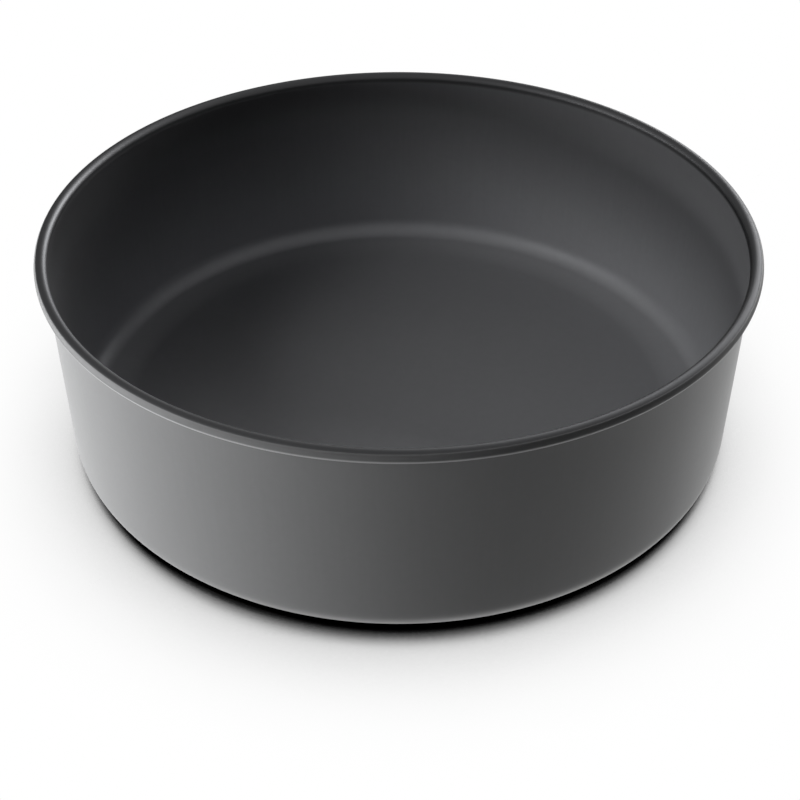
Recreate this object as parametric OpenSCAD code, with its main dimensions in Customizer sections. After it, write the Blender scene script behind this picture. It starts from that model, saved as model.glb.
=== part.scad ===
// Round deep baking pan with a wired rim.
// One disc of sheet steel is drawn into a floor, a corner and a wall, and its edge is rolled
// outwards round a wire ring. The sheet's section is drawn in the plane of radius and height,
// and turned about the pan's axis. The origin is the middle of the underside, with +Z up.
// Lengths are in millimetres and angles in degrees.

/* [Pan] */
// Diameter across the outside of the rolled rim
rim_dia = 222; // [120:1:360]
// Height from the underside to the top of the rolled rim
pan_height = 68; // [40:1:120]
// Angle by which the wall opens towards the rim
wall_draft = 0.2; // [0:0.1:8]
// Outside radius of the corner between the wall and the floor
corner_radius = 7; // [3:0.5:16]

/* [Sheet] */
// Thickness of the steel sheet with its coatings
sheet_thickness = 1; // [0.6:0.1:1.4]

/* [Rolled rim] */
// Diameter of the wire that the rim is rolled round
wire_dia = 1.8; // [1.2:0.1:4]
// Clearance all round between the wire and the rolled sheet
wire_clearance = 0.05; // [0.02:0.01:0.2]
// Gap between the sheet's raw edge, tucked under the rim, and the wall
raw_edge_gap = 0.3; // [0.1:0.05:0.6]

/* [Hidden] */

// Facets of a turned shape, and of the small circles in its section
turn_facets = 240;
section_facets = 72;

// The rolled rim is as thick as the wire, its clearance and the sheet on both sides
curl_hollow_radius = wire_dia / 2 + wire_clearance;
curl_radius = curl_hollow_radius + sheet_thickness;
curl_centre = [rim_dia / 2 - curl_radius, pan_height - curl_radius];

// Along the wall, square to it, the curl's centre lies this far outside the corner's centre
curl_offset = corner_radius + curl_hollow_radius;
wall_length = (curl_centre.y - corner_radius + curl_offset * sin(wall_draft)) / cos(wall_draft);

// The floor is flat out to the corner's centre
floor_radius = curl_centre.x - wall_length * sin(wall_draft) - curl_offset * cos(wall_draft);

// Angle that the curl leaves open between the wall and the sheet's raw edge
raw_edge_angle = acos((curl_hollow_radius - raw_edge_gap) / curl_radius);

// Cuts reach this share of a bend's radius from its centre, which takes them past the bend
reach_share = 1.5;

// Section of a full ring of sheet, which the bends are cut from
module sheet_ring(outer_radius) {
    difference() {
        circle(r = outer_radius, $fn = section_facets);
        circle(r = outer_radius - sheet_thickness, $fn = section_facets);
    }
}

// Places a section in the frame of the corner's centre
module at_corner() {
    translate([floor_radius, corner_radius])
        children();
}

// Places a section in the frame of the wall, with +Y along it and its origin at the corner's centre
module along_wall() {
    at_corner()
        rotate(-wall_draft)
            children();
}

// Places a section in the frame of the curl's centre
module at_curl() {
    along_wall()
        translate([curl_offset, wall_length])
            children();
}

module floor_section() {
    square([floor_radius, sheet_thickness]);
}

// The bend between the floor and the wall, cut from its ring on the lines where they start
module corner_section() {
    reach = reach_share * corner_radius;
    at_corner()
        difference() {
            sheet_ring(corner_radius);
            translate([-reach, -reach])
                square([reach, 2 * reach]);
            rotate(-wall_draft)
                translate([-reach, 0])
                    square([2 * reach, reach]);
        }
}

module wall_section() {
    along_wall()
        translate([corner_radius - sheet_thickness, 0])
            square([sheet_thickness, wall_length]);
}

// The curl, open between the top of the wall and the sheet's raw edge
module curl_section() {
    reach = reach_share * curl_radius;
    at_curl()
        difference() {
            sheet_ring(curl_radius);
            polygon([
                [0, 0],
                [-reach, 0],
                -reach * [cos(raw_edge_angle / 2), sin(raw_edge_angle / 2)],
                -reach * [cos(raw_edge_angle), sin(raw_edge_angle)]
            ]);
        }
}

// The drawn sheet: floor, corner, wall and curl in one
module pan_shell() {
    color("dimgray")
        rotate_extrude($fn = turn_facets) {
            floor_section();
            corner_section();
            wall_section();
            curl_section();
        }
}

// The wire ring that stiffens the rim, held by the curl
module rim_wire() {
    color("silver")
        rotate_extrude($fn = turn_facets)
            at_curl()
                circle(d = wire_dia, $fn = section_facets);
}

pan_shell();
rim_wire();
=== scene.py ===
import math

import bpy
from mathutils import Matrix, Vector


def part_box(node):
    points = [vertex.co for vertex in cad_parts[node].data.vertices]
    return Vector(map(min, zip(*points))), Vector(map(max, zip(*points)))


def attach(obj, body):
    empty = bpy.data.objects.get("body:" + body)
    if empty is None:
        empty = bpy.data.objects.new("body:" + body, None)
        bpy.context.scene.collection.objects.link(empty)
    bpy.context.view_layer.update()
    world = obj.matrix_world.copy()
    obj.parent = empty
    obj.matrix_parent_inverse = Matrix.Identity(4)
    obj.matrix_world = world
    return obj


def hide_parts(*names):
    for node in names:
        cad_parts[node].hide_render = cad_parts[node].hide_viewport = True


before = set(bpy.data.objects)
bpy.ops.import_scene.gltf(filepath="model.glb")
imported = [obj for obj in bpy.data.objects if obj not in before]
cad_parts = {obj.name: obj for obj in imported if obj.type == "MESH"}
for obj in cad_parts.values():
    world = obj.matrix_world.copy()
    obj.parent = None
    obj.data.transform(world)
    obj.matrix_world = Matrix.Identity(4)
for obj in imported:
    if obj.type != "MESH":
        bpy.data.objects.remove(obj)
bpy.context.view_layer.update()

# Camera
# It looks down into the pan from the front. Its height, distance and lens give the rim's
# ellipse, the taper of the wall by perspective and the curve of the base as photographed.
camera_height = 0.28397
camera_distance = 0.36465
camera_dip = math.radians(38.082)
lens_length = 61.05
lens_shift = 0.0015
nearest_view = 0.01

camera_data = bpy.data.cameras.new("camera")
camera_data.lens = lens_length
camera_data.shift_x = lens_shift
camera_data.clip_start = nearest_view
camera = bpy.data.objects.new("camera", camera_data)
camera.location = (0, -camera_distance, camera_height)
camera.rotation_euler = (math.pi / 2 - camera_dip, 0, 0)
bpy.context.scene.collection.objects.link(camera)
bpy.context.scene.camera = camera
bpy.context.scene.view_settings.view_transform = "Standard"

# Ground
# A sheet of matt white paper that the pan stands on. The camera and the pan's gloss see it as white
# as the surroundings. To the camera it carries a painted shadow round the pan, painted deeper in
# front and behind than at the sides, where the lamps stand.
ground_size = 8
paper_grey = 0.7
sky_samples = 16

# The soft painted shadow round the pan: how far it reaches, how fast it fades, its depth at the
# sides, and how much deeper it is in front
wide_reach = 0.055
wide_falloff = 2.67
side_depth = 2.1
front_depth = 1.6

# The painted dark shadow line at the pan's foot: how far it reaches, how much fainter it is at the
# sides, and the brightness of the paper by the share of the sky that is open above it
close_reach = 0.012
side_lift = 0.41
close_tones = ((0.42, 0), (0.48, 0.03), (0.55, 0.12), (0.61, 0.33), (0.655, 0.56), (0.72, 0.82),
               (0.81, 0.97), (0.9, 1))


# A socket in a material's nodes. Sums, differences, products and powers of values add Math nodes.
class Value:
    def __init__(self, tree, socket=None):
        self.tree = tree
        self.socket = socket

    # Adds a node with its settings and then its inputs, and gives one of its outputs. A ramp's stops
    # are pairs of value and brightness.
    def node(self, kind, settings=None, inputs=None, output=0):
        made = self.tree.nodes.new(kind)
        for name, setting in (settings or {}).items():
            if name == "stops":
                points = made.color_ramp.elements
                for place, level in setting[2:]:
                    points.new(place)
                for point, (place, level) in zip(points, setting):
                    point.position = place
                    point.color = grey(level)
            else:
                setattr(made, name, setting)
        for name, value in (inputs or {}).items():
            if isinstance(value, Value):
                self.tree.links.new(value.socket, made.inputs[name])
            else:
                made.inputs[name].default_value = value
        return Value(self.tree, made.outputs[output]) if made.outputs else None

    def math(self, operation, first, second=0):
        return self.node("ShaderNodeMath", {"operation": operation}, {0: first, 1: second})

    def __add__(self, other):
        return self.math("ADD", self, other)

    def __sub__(self, other):
        return self.math("SUBTRACT", self, other)

    def __rsub__(self, other):
        return self.math("SUBTRACT", other, self)

    def __mul__(self, other):
        return self.math("MULTIPLY", self, other)

    def __pow__(self, exponent):
        return self.math("POWER", self, exponent)

    def __abs__(self):
        return self.math("ABSOLUTE", self)

    __radd__ = __add__
    __rmul__ = __mul__

    def at_least(self, other):
        return self.math("MAXIMUM", self, other)

    def vector(self, operation, other=None, scale=None, output="Vector"):
        inputs = {0: self}
        if other is not None:
            inputs[1] = other
        if scale is not None:
            inputs["Scale"] = scale
        return self.node("ShaderNodeVectorMath", {"operation": operation}, inputs, output)

    # Place on the piece, in metres
    def place(self):
        return self.node("ShaderNodeTexCoord", output="Object")

    # The same place, laid down to height 0
    def flat(self):
        return self.vector("MULTIPLY", (1, 1, 0))

    def length(self):
        return self.vector("LENGTH", output="Value")

    def part(self, axis):
        return self.node("ShaderNodeSeparateXYZ", inputs={0: self}, output=axis)

    def noise(self, scale, detail):
        return self.node("ShaderNodeTexNoise", inputs={"Vector": self, "Scale": scale, "Detail": detail})

    # Noise that swings about 0
    def swing(self, scale, detail):
        return self.noise(scale, detail) - 0.5

    # The first colour where the share is 0, the second where it is 1
    def blend(self, share, first, second):
        inputs = {0: share, 6: first, 7: second}
        return self.node("ShaderNodeMix", {"data_type": "RGBA"}, inputs, output=2)

    def ramp(self, stops):
        return self.node("ShaderNodeValToRGB", {"stops": stops}, {0: self})

    # Share of the sky that nothing covers within the reach
    def open_sky(self, reach):
        settings = {"samples": sky_samples}
        return self.node("ShaderNodeAmbientOcclusion", settings, {"Distance": reach}, output="AO")

    # 0 below low and 1 above high, with a soft change between them
    def between(self, low, high):
        settings = {"interpolation_type": "SMOOTHSTEP"}
        inputs = {"Value": self, "From Min": low, "From Max": high}
        return self.node("ShaderNodeMapRange", settings, inputs)


# An empty material, and the value that its nodes are added from
def new_finish(name):
    material = bpy.data.materials.new(name)
    material.use_nodes = True
    material.node_tree.nodes.clear()
    return material, Value(material.node_tree)


def grey(level, tint=(1, 1, 1)):
    return (*(level * share for share in tint), 1)


# 1 for what the camera sees, straight or in gloss or through glass, and 0 for scattered light
def sight(nodes):
    rays = ("Is Camera Ray", "Is Glossy Ray", "Is Transmission Ray")
    return sum(nodes.node("ShaderNodeLightPath", output=ray) for ray in rays)


bpy.ops.object.select_all(action="DESELECT")
bpy.ops.mesh.primitive_plane_add(size=ground_size)
ground = bpy.context.object
ground.name = "ground"
paper, nodes = new_finish("white_paper")
seen = sight(nodes)
matt = nodes.node("ShaderNodeBsdfDiffuse", inputs={"Color": grey(paper_grey)})

# 1 straight in front of the pan and behind it, and 0 at its sides
in_front = abs(nodes.place().vector("NORMALIZE").part("Y"))
# Painted shadow: the paper's colour darkens by how much of the sky the pan covers
covered = 1 - nodes.open_sky(wide_reach)
wide = 1 - (side_depth + front_depth * in_front) * covered ** wide_falloff
close = (nodes.open_sky(close_reach) + side_lift * (1 - in_front)).ramp(close_tones)
direct = nodes.node("ShaderNodeLightPath", output="Is Camera Ray")
tone = 1 - direct * (1 - wide * close)
white = nodes.node("ShaderNodeEmission", inputs={"Color": tone, "Strength": 1})
shown = nodes.node("ShaderNodeMixShader", inputs={0: seen, 1: matt, 2: white})
nodes.node("ShaderNodeOutputMaterial", inputs={"Surface": shown})
ground.data.materials.append(paper)

# Studio
# Pale surroundings, which the camera and the pan's gloss see as white, and soft boxes round the
# pan. Each box's brightness is that of its face, where 1 is white.
world = bpy.data.worlds.new("studio")
world.use_nodes = True
world.node_tree.nodes.clear()
bpy.context.scene.world = world
nodes = Value(world.node_tree)
room = nodes.node("ShaderNodeBackground", inputs={"Color": grey(1), "Strength": sight(nodes)})
nodes.node("ShaderNodeOutputWorld", inputs={"Surface": room})


# Azimuth is in degrees from the front, with plus to the right. A gloss-only box is a card that
# glossy surfaces reflect and that casts no light on matt ones.
def softbox(name, azimuth, elevation, distance, width, height, brightness, gloss_only=False):
    data = bpy.data.lights.new(name, "AREA")
    data.shape = "RECTANGLE"
    data.size = width
    data.size_y = height
    data.energy = brightness * math.pi * width * height
    lamp = bpy.data.objects.new(name, data)
    turn = math.radians(azimuth)
    rise = math.radians(elevation)
    towards = Vector((math.sin(turn) * math.cos(rise), -math.cos(turn) * math.cos(rise), math.sin(rise)))
    lamp.location = distance * towards
    lamp.rotation_euler = towards.to_track_quat("Z", "Y").to_euler()
    lamp.visible_camera = False
    lamp.visible_diffuse = not gloss_only
    bpy.context.scene.collection.objects.link(lamp)


low_strip = {"elevation": 5, "distance": 0.8, "width": 0.7, "height": 0.14}
square_box = {"elevation": 32, "distance": 1.5, "width": 0.8, "height": 0.8}
wide_card = {"elevation": 20, "distance": 1.5, "width": 1.1, "height": 0.5}
softbox("low_left_strip", azimuth=-87, brightness=27.5, **low_strip)
softbox("low_right_strip", azimuth=115, brightness=4, **low_strip)
softbox("left_front_softbox", azimuth=-70, brightness=2.5, **square_box)
softbox("rim_card", azimuth=148, brightness=38, gloss_only=True, **wide_card)

# Pan
# One disc of sheet steel, drawn in a press into a floor, a rounded corner and a wall, with its
# edge rolled outwards round the rim's wire. Its faces are coated; the cut edge, which is tucked
# under the roll, is bare.
sheet_thickness = 0.001
corner_radius = 0.007
wall_draft = math.radians(0.2)
raw_edge_gap = 0.0003
turn_steps = 288
floor_steps = 12
corner_steps = 14
wall_steps = 6
roll_steps = 40
crease_angle = math.radians(40)

wire_low, wire_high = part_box("rim_wire")
shell_low, shell_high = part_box("pan_shell")
wire_radius = (wire_high.z - wire_low.z) / 2
roll_centre = Vector((wire_high.x - wire_radius, 0, wire_low.z + wire_radius))
roll_radius = shell_high.x - roll_centre.x
hollow_radius = roll_radius - sheet_thickness
raw_edge_angle = math.acos((hollow_radius - raw_edge_gap) / roll_radius)

# Along the wall, square to it, the roll's centre lies this far outside the corner's centre
roll_offset = corner_radius + hollow_radius
up_wall = Vector((math.sin(wall_draft), 0, math.cos(wall_draft)))
out_of_wall = Vector((math.cos(wall_draft), 0, -math.sin(wall_draft)))
wall_rise = roll_centre.z - corner_radius + roll_offset * math.sin(wall_draft)
wall_length = wall_rise / math.cos(wall_draft)
corner_centre = roll_centre - roll_offset * out_of_wall - wall_length * up_wall
floor_step = Vector((corner_centre.x / floor_steps, 0, 0))
wall_step = up_wall * wall_length / wall_steps

# The section is drawn along the middle of the sheet, from the axis outwards, and turned
bpy.ops.object.select_all(action="DESELECT")
bpy.ops.mesh.primitive_plane_add(size=sheet_thickness, location=(0, 0, sheet_thickness / 2))
pan = bpy.context.object
pan.name = "pan"
bpy.ops.object.transform_apply(location=True)
bpy.ops.object.mode_set(mode="EDIT")
bpy.ops.mesh.select_all(action="SELECT")
bpy.ops.mesh.merge(type="CENTER")
for step in range(floor_steps):
    bpy.ops.mesh.extrude_region_move(TRANSFORM_OT_translate={"value": floor_step})
corner_sweep = math.pi / 2 - wall_draft
bpy.ops.mesh.spin(steps=corner_steps, angle=corner_sweep, center=corner_centre, axis=(0, 1, 0))
for step in range(wall_steps):
    bpy.ops.mesh.extrude_region_move(TRANSFORM_OT_translate={"value": wall_step})
roll_sweep = 2 * math.pi - raw_edge_angle
bpy.ops.mesh.spin(steps=roll_steps, angle=-roll_sweep, center=roll_centre, axis=(0, 1, 0))
bpy.ops.mesh.select_all(action="SELECT")
bpy.ops.mesh.spin(steps=turn_steps, angle=2 * math.pi, center=(0, 0, 0), axis=(0, 0, 1))
bpy.ops.mesh.select_all(action="SELECT")
bpy.ops.mesh.remove_doubles(threshold=sheet_thickness / 100)
bpy.ops.mesh.normals_make_consistent(inside=False)
bpy.ops.object.mode_set(mode="OBJECT")

# Matt non-stick coat of the inside. It is painted lightest on the floor and darker up the wall and
# just under the rim, as painted shade. Rolling burnished it on the rim, where it meets the outside's
# satin coat.
non_stick_grey = 0.46
# Painted shade: the grey at the top of the wall, darker than the floor's
wall_painted_shade_grey = 0.19
# Painted shade: the share by which the wall is painted darker just under the rim
under_rim_painted_shade = 0.45
burnished_grey = 0.035
coat_tint = (0.98, 0.99, 1.03)
non_stick_sheen = 0.1
matt_roughness = 0.48
matt_specular = 0.1
glancing_grey = 0.3
burnished_roughness = 0.5
burnished_gloss = 0.2
gloss_index = 1.4
burnish_smoothing = 0.7

# The floor's edge shades as if it rose by this much towards the corner
floor_edge_rise = 0.0028

# The satin coat also covers the roll's outer side, up to the meeting angle above the level. Handling
# rubbed it smoother along the underside of the roll, which is also painted paler, as a painted
# highlight.
satin_grey = 0.22
satin_tint = (0.99, 1, 1.015)
satin_gloss = 0.1
# Painted highlight: the paler grey along the underside of the roll
roll_underside_painted_highlight_grey = 0.5
handled_gloss = 0.9
meeting_angle = math.radians(48)
meeting_blur = 0.0002

# Heights, and distances from the axis, between which one finish or mark passes into the next
wall_shade_heights = (0.004, roll_centre.z - 0.006)
wall_foot_heights = (corner_radius - sheet_thickness, 2 * corner_radius)
under_rim_shade_heights = (roll_centre.z - 0.016, roll_centre.z)
burnish_heights = (roll_centre.z - 0.00155, roll_centre.z - 0.00025)
burnish_radii = (roll_centre.x - 0.00125, roll_centre.x - 0.00075)
under_roll_heights = (roll_centre.z - 0.0008, roll_centre.z - 0.0001)
floor_edge_radii = (corner_centre.x - 0.0119, corner_centre.x + corner_radius - sheet_thickness)

# Fine orange peel of the sprayed coat, clouds, specks, and streaks that the press drew up the wall.
# The streaks' noise is read round a ring, and hardly changes with height.
peel_scale = 1400
peel_height = 0.000004
peel_roughening = 0.06
cloud_scale = 22
cloud_shade = 0.1
cloud_roughening = 0.08
speck_scale = 420
speck_shade = 0.08
streak_scale = 900
streak_ring = 0.1
streak_stretch = 0.04
streak_height = 0.0000025
streak_shade = 0.08
streak_roughening = 0.06


def wall_streak(place):
    around = place.flat().vector("NORMALIZE").vector("SCALE", scale=streak_ring)
    stretched = place.vector("MULTIPLY", (0, 0, streak_stretch))
    streak = around.vector("ADD", stretched).swing(streak_scale, detail=4)
    return place.part("Z").between(*wall_foot_heights) * streak


# Normals of a surface that has this relief, in metres
def relief_bump(relief):
    return relief.node("ShaderNodeBump", inputs={"Strength": 1, "Distance": 1, "Height": relief})


# Gives the material a Principled shader with these inputs
def show_surface(nodes, inputs):
    surface = nodes.node("ShaderNodeBsdfPrincipled", inputs=inputs)
    nodes.node("ShaderNodeOutputMaterial", inputs={"Surface": surface})


non_stick, nodes = new_finish("non_stick_coat")
place = nodes.place()
radius = place.flat().length()
height = place.part("Z")
burnish = height.between(*burnish_heights).at_least(radius.between(*burnish_radii))
across = math.sin(meeting_angle) * (radius - roll_centre.x)
across = across - math.cos(meeting_angle) * (height - roll_centre.z)
outer_side = burnish * across.between(-meeting_blur, meeting_blur)
top_side = burnish * (1 - outer_side)
under_roll = 1 - height.between(*under_roll_heights)

peel = place.noise(peel_scale, detail=2)
cloud = place.swing(cloud_scale, detail=3)
speck = place.swing(speck_scale, detail=4)
streak = wall_streak(place)

# Painted shade: the coat is painted darker up the wall than on the floor
wall_shade = height.between(*wall_shade_heights)
clean_grey = nodes.blend(wall_shade, grey(non_stick_grey, coat_tint), grey(wall_painted_shade_grey, coat_tint))
# Painted shade: the wall is painted darker just under the rim
under_rim_shade = height.between(*under_rim_shade_heights)
clean_grey = clean_grey.vector("SCALE", scale=1 - under_rim_painted_shade * under_rim_shade)
coat_grey = nodes.blend(burnish, clean_grey, grey(burnished_grey, coat_tint))
# Painted highlight: the underside of the roll is painted paler
outer_grey = nodes.blend(under_roll, grey(satin_grey, satin_tint), grey(roll_underside_painted_highlight_grey, satin_tint))
coat_grey = nodes.blend(outer_side, coat_grey, outer_grey)
variation = 1 + cloud_shade * cloud + speck_shade * speck + streak_shade * streak
roughness = matt_roughness + cloud_roughening * cloud + peel_roughening * (peel - 0.5)
roughness = roughness + streak_roughening * streak
roughness = roughness - (matt_roughness - burnished_roughness) * burnish
relief = peel_height * peel * (1 - burnish_smoothing * burnish) + streak_height * streak
relief = relief + floor_edge_rise * radius.between(*floor_edge_radii)
show_surface(nodes, {
    "Base Color": coat_grey.vector("SCALE", scale=variation),
    "Metallic": non_stick_sheen * (1 - outer_side) + (1 - non_stick_sheen) * top_side,
    "Roughness": roughness,
    "Specular IOR Level": matt_specular,
    "Specular Tint": grey(glancing_grey),
    "Coat Weight": burnished_gloss * top_side + outer_side * (satin_gloss + handled_gloss * under_roll),
    "Coat Roughness": burnished_roughness,
    "Coat IOR": gloss_index,
    "Normal": relief_bump(relief),
})

# Satin coat of the outside, with the same streaks up the wall. Standing and sliding rubbed it paler
# and duller in patches on the ring that touches the table.
rubbed_grey = 0.3
rubbed_roughening = 0.15
rub_scale = 160
rub_patches = (0.48, 0.62)
rub_radii = (corner_centre.x - 0.0079, corner_centre.x - 0.0009)
rub_heights = (0.0001, 0.0006)
satin_roughness = 0.34
satin_specular = 0.3
satin_peel_scale = 900
satin_peel_roughening = 0.05
satin_cloud_scale = 30
satin_cloud_shade = 0.05
satin_cloud_roughening = 0.06
satin_speck_scale = 500
satin_speck_shade = 0.06
satin_streak_shade = 0.06

# Up to this height the wall's foot shades as if it drew in towards the corner, by this many times the
# square of the distance down
soft_foot = 0.0085
foot_depth = 24

satin, nodes = new_finish("satin_coat")
place = nodes.place()
radius = place.flat().length()
height = place.part("Z")
peel = place.noise(satin_peel_scale, detail=2)
cloud = place.swing(satin_cloud_scale, detail=3)
speck = place.swing(satin_speck_scale, detail=4)
streak = wall_streak(place)
ring = radius.between(*rub_radii) * (1 - height.between(*rub_heights))
rub = ring * place.noise(rub_scale, detail=5).between(*rub_patches)

coat_grey = nodes.blend(rub, grey(satin_grey, satin_tint), grey(rubbed_grey, satin_tint))
variation = 1 + satin_cloud_shade * cloud + satin_speck_shade * speck + satin_streak_shade * streak
roughness = satin_roughness + satin_cloud_roughening * cloud + satin_peel_roughening * (peel - 0.5)
roughness = roughness + streak_roughening * streak + rubbed_roughening * rub
foot = (soft_foot - height).at_least(0)
relief = peel_height * peel + streak_height * streak - foot_depth * foot * foot
show_surface(nodes, {
    "Base Color": coat_grey.vector("SCALE", scale=variation),
    "Roughness": roughness,
    "Specular IOR Level": satin_specular,
    "Normal": relief_bump(relief),
})

# Bare steel of the cut edge under the roll. It has the fine grain that the shears left, and a
# faint clouding.
cut_dark_grey = 0.38
cut_pale_grey = 0.5
cut_cloud_scale = 60
cut_roughness = 0.4
grain_scale = 2500
grain_height = 0.00001
grain_roughening = 0.2

cut_steel, nodes = new_finish("cut_steel")
place = nodes.place()
grain = place.noise(grain_scale, detail=4)
cloud = place.noise(cut_cloud_scale, detail=3)
show_surface(nodes, {
    "Base Color": nodes.blend(cloud, grey(cut_dark_grey), grey(cut_pale_grey)),
    "Metallic": 1,
    "Roughness": cut_roughness + grain_roughening * (grain - 0.5),
    "Normal": relief_bump(grain_height * grain),
})

# The finished sheet: the coats go on, and the section's line gets its thickness on both sides
for finish in (non_stick, satin, cut_steel):
    pan.data.materials.append(finish)
thicken = pan.modifiers.new("sheet", "SOLIDIFY")
thicken.thickness = sheet_thickness
thicken.offset = 0
thicken.use_even_offset = True
thicken.material_offset = 1
thicken.material_offset_rim = 2
bpy.ops.object.modifier_apply(modifier=thicken.name)
bpy.ops.object.shade_smooth_by_angle(angle=crease_angle)
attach(pan, "root")
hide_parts("pan_shell")

# Rim wire
# A ring of bright drawn steel wire that stiffens the rim. The sheet's edge is rolled round it
# and holds it, and only a narrow line of it shows between the edge and the wall.
drawn_dark_grey = 0.245
drawn_pale_grey = 0.455
drawn_cloud_scale = 90
drawn_roughness = 0.3

# Fine lines that the drawing die left along the wire
die_line_scale = 9000
die_line_height = 0.000002
die_line_roughening = 0.2

wire_steel, nodes = new_finish("drawn_steel")
place = nodes.place()
in_section = {"X": place.flat().length(), "Z": place.part("Z")}
section_place = nodes.node("ShaderNodeCombineXYZ", inputs=in_section)
die_lines = section_place.noise(die_line_scale, detail=2)
cloud = place.noise(drawn_cloud_scale, detail=3)
show_surface(nodes, {
    "Base Color": nodes.blend(cloud, grey(drawn_dark_grey), grey(drawn_pale_grey)),
    "Metallic": 1,
    "Roughness": drawn_roughness + die_line_roughening * (die_lines - 0.5),
    "Normal": relief_bump(die_line_height * die_lines),
})
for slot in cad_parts["rim_wire"].material_slots:
    slot.material = wire_steel
